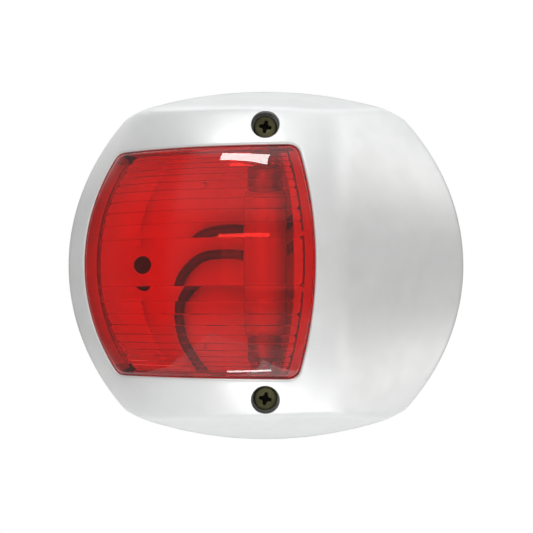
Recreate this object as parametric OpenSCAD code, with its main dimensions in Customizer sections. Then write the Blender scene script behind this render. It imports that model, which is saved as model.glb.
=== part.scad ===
// Side light for a boat, mounted on a vertical surface.
// X runs along the wall to the right, Z is up, and the wall is the plane Y = 0.
// The light stands off the wall towards -Y. The origin is midway between the two mounting holes.

/* [Housing] */
// Width of the housing outline
housing_w = 98.5; // [96:0.5:102]
// Height of the housing outline
housing_h = 87; // [86:0.5:90]
// Height of the crown's ridge above the wall
crown_top = 38.5; // [37:0.5:42]
// Wall thickness of the moulded cover
cover_wall = 2; // [1.6:0.1:2.4]
// Radius of the arcs at the left and right of the outline
side_arc_r = 51; // [50:0.5:54]
// Radius of the arcs at the top and bottom of the outline
end_arc_r = 82.75; // [80:0.25:90]

/* [Crown] */
// Position of the ridge, right of the centre
ridge_x = 8; // [6:0.5:10]
// Radius of the crown's long left flank
left_crown_r = 60; // [58:1:64]
// Steepest slope of the left flank, in degrees
left_slope = 48; // [46:1:50]
// Radius of the ridge where the crown turns down to the right
right_crown_r = 18; // [16:1:20]
// Slope of the right flank, in degrees
right_slope = 42.5; // [41:0.5:44]
// Distance behind the wall of the axis that the crown is curved about
barrel_axis = 40; // [36:1:60]

/* [Lens] */
// Height of the lens window
window_h = 54; // [50:0.5:54]
// Radius of the window's left edge
window_left_r = 46.25; // [45:0.25:46.5]
// Position of the window's right edge at mid height
window_right_x = 11.4; // [9:0.2:12]
// Radius of the window's right edge
window_right_r = 94; // [80:1:120]
// Corner radius of the window
window_corner_r = 2.8; // [2.5:0.1:4]
// Thickness of the clear lens
lens_wall = 2.2; // [1.8:0.1:2.4]

/* [Base] */
// Thickness of the gasket against the wall
gasket_t = 1; // [0.8:0.1:1.2]
// Thickness of the base plate
plate_t = 2.5; // [2:0.1:2.6]
// Distance between the two mounting holes
mount_spacing = 61; // [56:0.5:62]
// Diameter of a mounting hole
mount_hole_d = 4.5; // [4:0.1:5]
// Inner radius of the raised ring on the plate
ring_r = 31; // [30:0.5:32]

/* [Cover screws] */
// Height of each cover screw above or below the centre
screw_z = 32; // [31.5:0.1:32.2]
// Major diameter of the screw thread
thread_d = 3.48; // [3.3:0.02:3.6]
// Pitch of the screw thread
thread_pitch = 0.79375;
// Diameter of the screw head
head_d = 5.5; // [5.2:0.1:5.8]
// Length of the screw below its head
screw_len = 12.7; // [12:0.1:13]
// Diameter of the well that each head sits in
well_d = 6.6; // [6.4:0.1:6.8]
// Angle of the cross recess, in degrees clockwise
recess_turn = 11; // [0:1:45]

/* [Bulb] */
// Distance of the bulb's axis from the wall
bulb_out = 13.5; // [13:0.5:15]
// Diameter of the bulb's glass
glass_d = 10.5; // [10:0.1:11]
// Diameter of the bulb's end caps
cap_d = 8.5; // [8:0.1:8.6]
// Length of the bulb between the cap shoulders
bulb_len = 38; // [37:0.5:38]

/* [Wiring] */
// Diameter of an insulated lead
lead_d = 2.4; // [2:0.1:2.4]

/* [Hidden] */

fine = 160;      // facets of a large round surface
round_fn = 48;   // facets of a small round surface
step = 4;        // degrees between the points of an arc
tall = 60;       // deeper than the whole light

upper = 1;
lower = -1;

side_arc_x = side_arc_r - housing_w / 2;
end_arc_z = end_arc_r - housing_h / 2;

// The steep ends above and below the kink line are cones about axes far beyond the other end.
flank_r = 150;
flank_foot = 4;          // height above the wall where the flank meets the outline
flank_lean = 0.3;        // how far the flank leans in for each millimetre it rises
flank_normal = sqrt(1 + flank_lean * flank_lean);

// Depths of the layers at the window, measured inwards from the crown
seal_gap = 0.03;
seal_t = 0.34;
lens_flange_top = cover_wall + seal_t + 2 * seal_gap;
lens_depth = lens_flange_top + 1.2;
lens_gap = 0.15;
flange_reach = 1.4;
lens_rim_w = 2.4;
lens_foot = 4;           // the lens and its seal end this far above the wall

plate_top = gasket_t + plate_t;
plate_inset = cover_wall + 0.6;
ring_w = 1.4;
ring_h = 2.5;

boss_r = 4.1;
boss_top = 20.4;
insert_r = 2.8;
insert_len = 8;
tube_r = 4.3;
web_bottom = boss_top + 0.4;
web_top = web_bottom + 2;
washer_t = 0.5;
head_seat = web_top + washer_t;
head_h = 2.2;
screw_clear = 0.06;
thread_r = thread_d / 2;

// The screen behind the window's right edge cuts the beam off abaft the beam.
screen_t = 1.4;
screen_low = 20;
screen_lean = 0.4625;
screen_top_x = 14.3;
screen_top = 36;
screen_half_h = 25.5;

pad_h = 1;
foot_t = 0.5;
foot_base = plate_top + pad_h;
foot_w = 7;
leaf_z = bulb_len / 2 + 1.35;
foot_len = 6.6;
stub_h = 0.3;
leaf_foot = foot_base + foot_t + stub_h;
leaf_gap = 0.05;
leaf_top = 19;
slot_r = 1.75;
tip_r = 1.6;
rivet_z = 24;
rivet_r = 1.15;
rivet_head_r = 2.1;
terminal_t = 0.6;
terminal_ring_r = 2.9;
barrel_r = 1.75;
barrel_out = 6.6;
barrel_start = 4.6;
barrel_len = 5;

grommet_z = 1;
grommet_r = 4.6;
grommet_flange_r = 5.6;
lead_x = 1.7;
lead_sides = 8;

housing_white = [0.93, 0.94, 0.94];
lens_red = [0.72, 0.06, 0.08, 0.6];
brass = [0.78, 0.64, 0.36];
nickel = [0.78, 0.77, 0.73];
bronze = [0.36, 0.35, 0.27];
rubber_black = [0.1, 0.1, 0.11];
rubber_white = [0.84, 0.84, 0.82];
copper_tin = [0.72, 0.70, 0.66];

// Route of each lead in plan: x, height and distance from the wall
lead_lower_route = [
    [-lead_x, grommet_z, 0.8], [-lead_x, grommet_z, 3.6], [-2.6, 1.4, 5.4], [-5.2, 2.2, 6.1],
    [-9.4, 2.6, 6.1], [-15.2, 1.9, 5.9], [-19.3, -1.3, 5.6], [-21.2, -4.9, 5.3],
    [-21.3, -9.0, 5.2], [-20.4, -13.4, 5.2], [-18.2, -17.3, 5.4], [-15.4, -20.8, 6.0],
    [-12.2, -23.4, 6.5], [-9.4, -rivet_z, barrel_out], [-5.6, -rivet_z, barrel_out]
];
lead_upper_route = [
    [lead_x, grommet_z, 0.8], [lead_x, grommet_z, 3.6], [2.5, 1.5, 5.4], [4.8, 3.0, 6.0],
    [8.2, 5.8, 5.9], [11.4, 9.8, 5.6], [13.9, 14.6, 5.6], [14.8, 18.8, 5.9],
    [13.4, 22.6, 6.4], [9.8, rivet_z, barrel_out], [5.6, rivet_z, barrel_out]
];

// ---- shared shapes, in plan: x right, y up, z away from the wall ----

module from_wall() rotate([90, 0, 0]) children();

function arc(centre, r, from, to) =
    let (n = max(1, ceil(abs(to - from) / step)))
    [for (i = [0:n]) let (a = from + (to - from) * i / n) centre + r * [cos(a), sin(a)]];

// Long section of the crown: a straight foot, a long arc, the ridge arc and a straight slope
function crown_section(inset) =
    let (
        left_arc = arc([ridge_x, crown_top - left_crown_r], left_crown_r - inset, 90 + left_slope, 90),
        right_arc = arc([ridge_x, crown_top - right_crown_r], right_crown_r - inset, 90, 90 - right_slope),
        foot = left_arc[0] - 22 * [cos(left_slope), sin(left_slope)],
        toe = right_arc[len(right_arc) - 1] + 45 * [cos(right_slope), -sin(right_slope)]
    )
    concat([foot], left_arc, [for (i = [1:len(right_arc) - 1]) right_arc[i]], [toe]);

// The section is turned about an axis behind the wall, so the crown is also curved from top to bottom.
module crown(inset = 0) {
    section = [for (p = crown_section(inset)) [p.y + barrel_axis, p.x]];
    last = section[len(section) - 1];
    translate([0, 0, -barrel_axis]) rotate([0, 90, 0])
        rotate_extrude($fn = fine)
            polygon(concat([[0, section[0].y]], section, [[0, last.y]]));
}

module outline(inset = 0) {
    intersection() {
        translate([-side_arc_x, 0]) circle(r = side_arc_r - inset, $fn = fine);
        translate([side_arc_x, 0]) circle(r = side_arc_r - inset, $fn = fine);
        translate([0, -end_arc_z]) circle(r = end_arc_r - inset, $fn = fine);
        translate([0, end_arc_z]) circle(r = end_arc_r - inset, $fn = fine);
    }
}

module flank(side, inset) {
    foot_r = flank_r - inset * flank_normal + flank_foot * flank_lean;
    translate([0, side * (housing_h / 2 - flank_r), 0])
        cylinder(h = tall, r1 = foot_r, r2 = foot_r - tall * flank_lean, $fn = 2 * fine);
}

module housing_solid(inset, from) {
    intersection() {
        translate([0, 0, from]) linear_extrude(tall) outline(inset);
        crown(inset);
        flank(upper, inset);
        flank(lower, inset);
    }
}

function window_points(grow) =
    let (
        rc = max(0.4, window_corner_r + grow),
        y = window_h / 2 + grow - rc,
        right_c = window_right_x - window_right_r,
        right_r = window_right_r + grow,
        left_r = window_left_r + grow,
        right_x = right_c + sqrt(pow(right_r - rc, 2) - y * y),
        left_x = side_arc_x - sqrt(pow(left_r - rc, 2) - y * y),
        right_a = atan2(y, right_x - right_c),
        left_a = atan2(y, side_arc_x - left_x)
    )
    concat(
        arc([right_x, y], rc, right_a, 90), arc([left_x, y], rc, 90, 180 - left_a),
        arc([side_arc_x, 0], left_r, 180 - left_a + step, 180 + left_a - step),
        arc([left_x, -y], rc, 180 + left_a, 270), arc([right_x, -y], rc, 270, 360 - right_a),
        arc([right_c, 0], right_r, -right_a + step, right_a - step)
    );

module window_prism(grow = 0) {
    linear_extrude(tall) polygon(window_points(grow));
}

module at_screws() {
    for (side = [upper, lower]) translate([0, side * screw_z, 0]) children();
}

// ---- leads: a round tube swept along a smooth curve through the route's points ----

function unit(v) = v / norm(v);

function curve_point(p, i, t) =
    let (a = p[max(i - 1, 0)], b = p[i], c = p[i + 1], d = p[min(i + 2, len(p) - 1)])
    0.5 * (2 * b + (c - a) * t + (2 * a - 5 * b + 4 * c - d) * t * t + (3 * b - a - 3 * c + d) * t * t * t);

function curve(p, parts = 3) = concat(
    [for (i = [0:len(p) - 2]) for (k = [0:parts - 1]) curve_point(p, i, k / parts)], [p[len(p) - 1]]
);

function tangents(c) = [
    for (i = [0:len(c) - 1]) unit(c[min(i + 1, len(c) - 1)] - c[max(i - 1, 0)])
];

// Carries one cross direction along the curve, kept square to it at each point
function carry(t, u, i = 0) =
    i == len(t) ? [] : let (n = unit(u - (u * t[i]) * t[i])) concat([n], carry(t, n, i + 1));

module lead_tube(route) {
    c = curve(route);
    t = tangents(c);
    u = carry(t, [0, 1, 0]);
    last = len(c) - 1;
    points = [
        for (i = [0:last]) for (k = [0:lead_sides - 1])
            let (a = 360 * k / lead_sides)
            c[i] + lead_d / 2 * (cos(a) * u[i] + sin(a) * cross(t[i], u[i]))
    ];
    sides = [
        for (i = [0:last - 1]) for (k = [0:lead_sides - 1])
            let (m = (k + 1) % lead_sides)
            [i * lead_sides + k, (i + 1) * lead_sides + k, (i + 1) * lead_sides + m, i * lead_sides + m]
    ];
    start = [for (k = [0:lead_sides - 1]) k];
    end = [for (k = [lead_sides - 1:-1:0]) last * lead_sides + k];
    polyhedron(points = points, faces = concat([start], sides, [end]));
}

// ---- base, gasket and wiring ----

module mounting_holes() {
    for (side = [-1, 1]) translate([side * mount_spacing / 2, 0, -1])
        cylinder(h = tall, d = mount_hole_d, $fn = round_fn);
}

module mounting_gasket() {
    color(rubber_black) from_wall() difference() {
        linear_extrude(gasket_t) outline(0.4);
        mounting_holes();
        translate([0, grommet_z, -1]) cylinder(h = tall, r = grommet_flange_r + 0.2, $fn = round_fn);
    }
}

module boss_rib(side) {
    rib_t = 1.4;
    rib_reach = 8.5;
    rib_h = 10;
    translate([0, rib_t / 2, plate_top]) rotate([90, 0, 0]) linear_extrude(rib_t)
        polygon([[0, 0], [side * rib_reach, 0], [side * (boss_r - 0.4), rib_h], [0, rib_h]]);
}

module base() {
    head_room = 4.6;     // radius cleared round each mounting hole for the fixing screw's head
    pip_x = 15.4;
    pip_z = 14;
    pip_r = 0.9;
    color(housing_white) from_wall() difference() {
        union() {
            translate([0, 0, gasket_t]) linear_extrude(plate_t) outline(plate_inset);
            difference() {
                translate([0, 0, plate_top - 0.5])
                    cylinder(h = ring_h + 0.5, r = ring_r + ring_w, $fn = fine);
                translate([0, 0, plate_top]) cylinder(h = tall, r = ring_r, $fn = fine);
                for (side = [-1, 1]) translate([side * mount_spacing / 2, 0, plate_top])
                    cylinder(h = tall, r = head_room, $fn = round_fn);
            }
            at_screws() {
                translate([0, 0, plate_top - 0.5])
                    cylinder(h = boss_top - plate_top + 0.5, r = boss_r, $fn = round_fn);
                boss_rib(-1);
                boss_rib(1);
            }
            for (side = [upper, lower])
                translate([-4, side > 0 ? leaf_z - 0.4 : -leaf_z - foot_len - 0.2, plate_top - 0.5])
                    cube([8, foot_len + 0.6, pad_h + 0.5]);
            for (x = [-pip_x, pip_x]) for (z = [-pip_z, pip_z])
                translate([x, z, plate_top]) sphere(r = pip_r, $fn = 24);
        }
        mounting_holes();
        translate([0, grommet_z, 0]) cylinder(h = tall, r = grommet_r + 0.05, $fn = round_fn);
        at_screws() {
            translate([0, 0, boss_top - insert_len]) cylinder(h = tall, r = insert_r, $fn = round_fn);
            translate([0, 0, plate_top + 0.5]) cylinder(h = tall, r = thread_r + 0.2, $fn = round_fn);
        }
        for (side = [upper, lower]) translate([0, side * rivet_z, 0]) {
            cylinder(h = tall, r = rivet_r + 0.05, $fn = round_fn);
            cylinder(h = gasket_t + 0.7, r = rivet_head_r + 0.2, $fn = round_fn);
        }
    }
}

module threaded_inserts() {
    outer = insert_r - 0.02;
    groove = outer - 0.25;
    bore = thread_r + screw_clear;
    color(brass) from_wall() at_screws() translate([0, 0, boss_top - insert_len])
        rotate_extrude($fn = round_fn) polygon([
            [bore, 0], [outer, 0], [outer, 2.2], [groove, 2.4], [groove, 3.2], [outer, 3.4],
            [outer, 4.6], [groove, 4.8], [groove, 5.6], [outer, 5.8], [outer, insert_len], [bore, insert_len]
        ]);
}

module wire_grommet() {
    flange_t = 0.8;
    color(rubber_white) from_wall() translate([0, grommet_z, 0]) difference() {
        rotate_extrude($fn = round_fn) polygon([
            [0, gasket_t - flange_t], [grommet_flange_r, gasket_t - flange_t],
            [grommet_flange_r, gasket_t], [grommet_r, gasket_t], [grommet_r, plate_top],
            [grommet_flange_r, plate_top], [grommet_flange_r - 0.3, plate_top + flange_t],
            [0, plate_top + flange_t]
        ]);
        for (side = [-1, 1]) translate([side * lead_x, 0, -1])
            cylinder(h = tall, r = lead_d / 2 + 0.04, $fn = round_fn);
    }
}

module contact_foot(side) {
    color(nickel) from_wall() mirror([0, side > 0 ? 0 : 1, 0]) difference() {
        union() {
            translate([-foot_w / 2, leaf_z, foot_base]) cube([foot_w, foot_len, foot_t]);
            translate([-foot_w / 2, leaf_z, foot_base]) cube([foot_w, foot_t, foot_t + stub_h]);
        }
        translate([0, rivet_z, 0]) cylinder(h = tall, r = rivet_r + 0.05, $fn = round_fn);
    }
}

// A spring leaf with a slot that is open at the front, where the tip of the bulb's cap sits
module contact_leaf(side) {
    shoulder = 1.2;
    foot = leaf_foot + leaf_gap;
    color(nickel) from_wall() mirror([0, side > 0 ? 0 : 1, 0])
        translate([0, leaf_z + foot_t, 0]) rotate([90, 0, 0]) linear_extrude(foot_t)
            difference() {
                polygon([
                    [-foot_w / 2, foot], [foot_w / 2, foot], [foot_w / 2, leaf_top - shoulder],
                    [foot_w / 2 - shoulder, leaf_top], [-foot_w / 2 + shoulder, leaf_top],
                    [-foot_w / 2, leaf_top - shoulder]
                ]);
                translate([0, bulb_out]) circle(r = slot_r, $fn = round_fn);
                translate([-slot_r, bulb_out]) square([2 * slot_r, tall]);
            }
}

module contact_upper_foot() contact_foot(upper);
module contact_lower_foot() contact_foot(lower);
module contact_upper_leaf() contact_leaf(upper);
module contact_lower_leaf() contact_leaf(lower);

module contact_rivets() {
    head_foot = foot_base + foot_t + terminal_t;
    clinch_t = 0.6;
    clinch = gasket_t + 0.05;
    color(brass) from_wall() for (side = [upper, lower]) translate([0, side * rivet_z, 0])
        rotate_extrude($fn = round_fn) polygon([
            [0, clinch], [rivet_head_r - 0.3, clinch], [rivet_head_r, clinch + clinch_t],
            [rivet_r, clinch + clinch_t], [rivet_r, head_foot], [rivet_head_r, head_foot],
            [rivet_head_r - 0.2, head_foot + 0.5], [rivet_head_r - 0.8, head_foot + 0.9],
            [0, head_foot + 1]
        ]);
}

// A crimped ring terminal under the rivet's head, its barrel pointing to the side that the lead comes from
module terminal(side) {
    tongue_w = 2.4;
    ring_foot = foot_base + foot_t;
    color(copper_tin) from_wall() rotate([0, 0, side > 0 ? 0 : 180]) difference() {
        union() {
            translate([0, rivet_z, ring_foot]) cylinder(h = terminal_t, r = terminal_ring_r, $fn = round_fn);
            translate([0, rivet_z - tongue_w / 2, ring_foot])
                cube([barrel_start + 0.8, tongue_w, terminal_t]);
            translate([barrel_start, rivet_z, barrel_out]) rotate([0, 90, 0])
                cylinder(h = barrel_len, r = barrel_r, $fn = round_fn);
        }
        translate([0, rivet_z, 0]) cylinder(h = tall, r = rivet_r + 0.05, $fn = round_fn);
        translate([barrel_start + 0.8, rivet_z, barrel_out]) rotate([0, 90, 0])
            cylinder(h = tall, r = lead_d / 2 + 0.04, $fn = round_fn);
    }
}

module terminal_upper() terminal(upper);
module terminal_lower() terminal(lower);

module lead_upper() color(rubber_black) from_wall() lead_tube(lead_upper_route);
module lead_lower() color(rubber_black) from_wall() lead_tube(lead_lower_route);

// ---- bulb, about its own upright axis ----

glass_wall = 0.7;
neck_r = cap_d / 2 - 0.35;
glass_half = bulb_len / 2 - 5.5;
shoulder_half = glass_half - 3.5;
shoulder_h = 2.3;

function glass_side(inset, half) =
    let (
        r = glass_d / 2 - inset, neck = neck_r - inset, foot = shoulder_half - 0.6 * inset,
        shoulder = [for (a = [0:15:90]) [neck + (r - neck) * cos(a), foot + shoulder_h * sin(a)]]
    )
    concat(
        [[neck, -half]],
        [for (i = [len(shoulder) - 1:-1:0]) [shoulder[i][0], -shoulder[i][1]]],
        shoulder,
        [[neck, half]]
    );

module at_bulb() translate([0, -bulb_out, 0]) children();

module bulb_glass() {
    outside = glass_side(0, glass_half);
    inside = glass_side(glass_wall, glass_half - glass_wall);
    color([0.9, 0.9, 0.9, 0.35]) at_bulb() rotate_extrude($fn = round_fn) difference() {
        polygon(concat([[0, -glass_half]], outside, [[0, glass_half]]));
        polygon(concat([[0, glass_wall - glass_half]], inside, [[0, glass_half - glass_wall]]));
    }
}

module bulb_cap(side) {
    skirt = glass_half - 1;
    shoulder = bulb_len / 2;
    cone_h = 1.1;
    tip_h = 1.1;
    inner = cap_d / 2 - 0.3;
    color(nickel) at_bulb() mirror([0, 0, side > 0 ? 0 : 1]) rotate_extrude($fn = round_fn) polygon([
        [inner, skirt], [cap_d / 2, skirt], [cap_d / 2, shoulder], [tip_r, shoulder + cone_h],
        [tip_r, shoulder + cone_h + tip_h - 0.4], [tip_r - 0.4, shoulder + cone_h + tip_h],
        [0, shoulder + cone_h + tip_h], [0, shoulder], [inner, shoulder - 0.3]
    ]);
}

module bulb_cap_upper() bulb_cap(upper);
module bulb_cap_lower() bulb_cap(lower);

filament_half = 8.5;
filament_r = 0.3;
wire_r = 0.2;

module bulb_filament() {
    color(bronze) at_bulb() translate([0, 0, -filament_half])
        cylinder(h = 2 * filament_half, r = filament_r, $fn = 24);
}

// The wires run from the filament's ends through the pinched glass to the caps.
module bulb_filament_wires() {
    color(nickel) at_bulb() for (side = [0, 1]) mirror([0, 0, side])
        translate([0, 0, filament_half])
            cylinder(h = glass_half - glass_wall - filament_half, r = wire_r, $fn = 24);
}

// ---- cover, lens and screws ----

// The beam screen is notched to clear the lens and its flange.
module screen() {
    centre_x = window_right_x - window_right_r;
    low_r = screen_top_x - centre_x - (screen_top - screen_low) * screen_lean;
    screen_h = tall - screen_low;
    run = screen_h * screen_lean;
    difference() {
        intersection() {
            translate([centre_x, 0, screen_low]) difference() {
                cylinder(h = screen_h, r1 = low_r + screen_t, r2 = low_r + screen_t + run, $fn = 2 * fine);
                translate([0, 0, -0.01]) cylinder(h = screen_h + 0.02, r1 = low_r, r2 = low_r + run, $fn = 2 * fine);
            }
            translate([0, -screen_half_h, 0]) cube([tall, 2 * screen_half_h, tall]);
            crown(cover_wall / 2);
        }
        difference() {
            window_prism(flange_reach + lens_gap);
            crown(lens_depth + lens_gap);
        }
    }
}

module cover() {
    color(housing_white) from_wall() difference() {
        union() {
            difference() {
                housing_solid(0, gasket_t);
                housing_solid(cover_wall, gasket_t - 1);
                window_prism();
            }
            intersection() {
                at_screws() translate([0, 0, web_bottom]) cylinder(h = tall, r = tube_r, $fn = round_fn);
                housing_solid(cover_wall / 2, gasket_t);
            }
            screen();
        }
        at_screws() {
            translate([0, 0, web_top]) cylinder(h = tall, d = well_d, $fn = round_fn);
            cylinder(h = tall, r = thread_r + 0.2, $fn = round_fn);
        }
    }
}

module clear_of_tubes(room) {
    at_screws() cylinder(h = tall, r = tube_r + room, $fn = round_fn);
}

module below_lens() {
    translate([-tall, -tall, 0]) cube([2 * tall, 2 * tall, lens_foot]);
}

module lens() {
    color(lens_red) from_wall() difference() {
        union() {
            intersection() {
                crown();
                window_prism(-lens_gap);
            }
            intersection() {
                crown(lens_flange_top);
                window_prism(flange_reach);
            }
        }
        crown(lens_depth);
        intersection() {
            crown(lens_wall);
            window_prism(-lens_rim_w);
        }
        clear_of_tubes(0.15);
        below_lens();
    }
}

module lens_seal() {
    color([0.85, 0.85, 0.82]) from_wall() difference() {
        intersection() {
            crown(cover_wall + seal_gap);
            window_prism(flange_reach - 0.2);
        }
        crown(cover_wall + seal_gap + seal_t);
        window_prism(0.1);
        clear_of_tubes(0.15);
        below_lens();
    }
}

module screw(side) {
    root_r = thread_r - 0.36;
    tip = head_seat - screw_len;
    turns = floor((screw_len - 1.6) / thread_pitch);
    recess_w = 2.95;
    recess_t = 0.8;
    recess_depth = 1.5;
    threads = [
        for (i = [0:turns - 1]) for (p = [[root_r, 0.5], [thread_r, 0.85], [thread_r, 0.97]])
            [p[0], tip + (i + p[1]) * thread_pitch]
    ];
    shank = tip + (turns + 0.5) * thread_pitch;
    head_top = head_seat + head_h;
    color(bronze) from_wall() translate([0, side * screw_z, 0]) difference() {
        rotate_extrude($fn = round_fn) polygon(concat(
            [[0, tip], [root_r - 0.3, tip]], threads,
            [[root_r, shank], [thread_r, shank + 0.3], [thread_r, head_seat], [head_d / 2, head_seat],
             [head_d / 2, head_top - 0.35], [head_d / 2 - 0.35, head_top], [0, head_top]]
        ));
        translate([0, 0, head_top]) rotate([0, 0, -recess_turn]) {
            cube([recess_w, recess_t, 2 * recess_depth], center = true);
            cube([recess_t, recess_w, 2 * recess_depth], center = true);
            translate([0, 0, -recess_depth]) cylinder(h = 2 * recess_depth, r1 = 0.5, r2 = 1.3, $fn = 24);
        }
    }
}

module screw_upper() screw(upper);
module screw_lower() screw(lower);

module screw_washer(side) {
    washer_r = head_d / 2 + 0.1;
    color(rubber_black) from_wall() translate([0, side * screw_z, web_top]) difference() {
        cylinder(h = washer_t, r = washer_r, $fn = round_fn);
        translate([0, 0, -1]) cylinder(h = washer_t + 2, r = thread_r + screw_clear, $fn = round_fn);
    }
}

module screw_washer_upper() screw_washer(upper);
module screw_washer_lower() screw_washer(lower);

mounting_gasket();
base();
threaded_inserts();
wire_grommet();
contact_upper_foot();
contact_upper_leaf();
contact_lower_foot();
contact_lower_leaf();
contact_rivets();
terminal_upper();
terminal_lower();
lead_upper();
lead_lower();
bulb_glass();
bulb_cap_upper();
bulb_cap_lower();
bulb_filament();
bulb_filament_wires();
cover();
lens();
lens_seal();
screw_upper();
screw_lower();
screw_washer_upper();
screw_washer_lower();
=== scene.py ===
# Looks for a boat's port side light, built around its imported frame.
# Shapes are worked out in millimetres in plan: x to the right, z up and d away from the wall.

import math

import bmesh
import bpy
import numpy as np
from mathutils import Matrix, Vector
from mathutils.geometry import delaunay_2d_cdt


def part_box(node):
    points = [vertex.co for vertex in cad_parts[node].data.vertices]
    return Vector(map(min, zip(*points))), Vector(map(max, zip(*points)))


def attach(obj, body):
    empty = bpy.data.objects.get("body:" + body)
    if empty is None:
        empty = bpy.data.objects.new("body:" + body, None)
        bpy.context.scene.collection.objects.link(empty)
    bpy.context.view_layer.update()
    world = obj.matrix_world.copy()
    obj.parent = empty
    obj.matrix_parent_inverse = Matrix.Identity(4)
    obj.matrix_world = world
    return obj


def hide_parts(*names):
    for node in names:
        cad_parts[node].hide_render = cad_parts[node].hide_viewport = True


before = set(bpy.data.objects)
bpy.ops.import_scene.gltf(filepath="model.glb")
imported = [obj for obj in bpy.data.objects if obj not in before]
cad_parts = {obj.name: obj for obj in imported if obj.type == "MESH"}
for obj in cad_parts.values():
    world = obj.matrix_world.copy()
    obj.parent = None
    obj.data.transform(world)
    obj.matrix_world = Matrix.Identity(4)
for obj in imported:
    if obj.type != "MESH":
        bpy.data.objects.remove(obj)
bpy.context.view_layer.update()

MM = 0.001
SIDES = {"upper": 1, "lower": -1}

# ---------------------------------------------------------------- sizes, in millimetres

cover_low, cover_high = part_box("cover")
HALF_W = (cover_high.x - cover_low.x) / 2 / MM
HALF_H = (cover_high.z - cover_low.z) / 2 / MM
CROWN_TOP = -cover_low.y / MM
GASKET_T = -cover_high.y / MM
COVER_WALL = 2.0
SIDE_ARC_R, END_ARC_R, OUTLINE_CORNER_R = 51.0, 82.75, 5.0
SIDE_ARC_X = SIDE_ARC_R - HALF_W
END_ARC_Z = END_ARC_R - HALF_H

# The crown's long section has its ridge at RIDGE_X, and turns about an axis BARREL_AXIS behind the wall
RIDGE_X = 8.0
LEFT_CROWN_R, LEFT_SLOPE = 60.0, math.radians(48.0)
RIGHT_CROWN_R, RIGHT_SLOPE = 18.0, math.radians(42.5)
BARREL_AXIS = 40.0
FLANK_R, FLANK_FOOT, FLANK_LEAN = 150.0, 4.0, 0.3

# The window, and the lens that fills it from behind
WINDOW_HALF_H, WINDOW_CORNER_R = 27.0, 2.8
WINDOW_LEFT_R, WINDOW_RIGHT_R, WINDOW_RIGHT_X = 46.25, 94.0, 11.4
LENS_WALL, LENS_GAP, LENS_FLANGE_TOP, LENS_DEPTH = 2.2, 0.15, 2.4, 3.6
LENS_FOOT = 4.0
FLANGE_REACH = 1.4

# The screw wells and the tubes below them
screw_low, screw_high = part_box("screw_upper")
SCREW_Z = (screw_low.z + screw_high.z) / 2 / MM
WELL_R, SCREW_HOLE_R, TUBE_R = 3.3, 1.94, 4.3
WEB_TOP = -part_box("screw_washer_upper")[1].y / MM
WEB_T = 2.0
WEB_BOTTOM = WEB_TOP - WEB_T
HEAD_TOP = -screw_low.y / MM
SCREW_CENTRES = [(0.0, side * SCREW_Z) for side in SIDES.values()]

# Radii of the small roundings, and the width over which the crown runs into a flank
WINDOW_EDGE_R, WELL_EDGE_R, RIM_EDGE_R, LENS_EDGE_R = 0.8, 0.2, 0.9, 0.8
FOOT_BEVEL = 0.25
KINK_BLEND = 2.6


# ---------------------------------------------------------------- surfaces, as heights above the wall

def section(x, inset):
    """Height of the crown's long section at x: a straight foot, two arcs and a straight slope."""
    left_r, right_r = LEFT_CROWN_R - inset, RIGHT_CROWN_R - inset
    left_c, right_c = CROWN_TOP - LEFT_CROWN_R, CROWN_TOP - RIGHT_CROWN_R
    dx = x - RIDGE_X
    left_x, right_x = -left_r * math.sin(LEFT_SLOPE), right_r * math.sin(RIGHT_SLOPE)
    left_arc = left_c + np.sqrt(np.maximum(left_r ** 2 - np.clip(dx, left_x, 0) ** 2, 0))
    right_arc = right_c + np.sqrt(np.maximum(right_r ** 2 - np.clip(dx, 0, right_x) ** 2, 0))
    foot = np.minimum(dx - left_x, 0) * math.tan(LEFT_SLOPE)
    toe = -np.maximum(dx - right_x, 0) * math.tan(RIGHT_SLOPE)
    return np.where(dx < 0, left_arc + foot, right_arc + toe)


def crown(x, z, inset=0.0):
    """The section turned about an axis behind the wall."""
    reach = section(x, inset) + BARREL_AXIS
    return np.sqrt(np.maximum(reach ** 2 - z ** 2, 1.0)) - BARREL_AXIS


def flank(x, z, inset=0.0):
    """The steep cones above and below the crown, whichever is lower."""
    shift = inset * math.hypot(1, FLANK_LEAN)
    r = np.hypot(x, np.abs(z) + FLANK_R - HALF_H)
    return FLANK_FOOT + (FLANK_R - shift - r) / FLANK_LEAN


def smooth_min(a, b, k):
    """The lower of two heights, with a soft change of width k from one to the other."""
    h = np.maximum(k - np.abs(a - b), 0) / k
    return np.minimum(a, b) - h * h * k / 4


def cover_height(x, z):
    """The cover's outer face, before its edges are rounded."""
    return smooth_min(crown(x, z), flank(x, z), KINK_BLEND)


def cover_inside(x, z):
    """The cover's inner face."""
    return np.minimum(crown(x, z, COVER_WALL), flank(x, z, COVER_WALL))


# ---------------------------------------------------------------- outlines, as rows of (x, z)

def arc(centre, r, start, end, count, last=True):
    """Points round an arc from one angle to another in degrees, with or without the last one."""
    a = np.radians(np.linspace(start, end, count + 1))
    points = np.stack([centre[0] + r * np.cos(a), centre[1] + r * np.sin(a)], 1)
    return points if last else points[:-1]


def circle_meet(c0, r0, c1, r1):
    """The crossing of two circles that lies to the upper right."""
    c0, c1 = np.array(c0, float), np.array(c1, float)
    gap = np.linalg.norm(c1 - c0)
    along = (c1 - c0) / gap
    a = (r0 ** 2 - r1 ** 2 + gap ** 2) / (2 * gap)
    side = np.array([-along[1], along[0]]) * math.sqrt(r0 ** 2 - a ** 2)
    return max([c0 + a * along + side, c0 + a * along - side], key=lambda p: p[0] + p[1])


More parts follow.
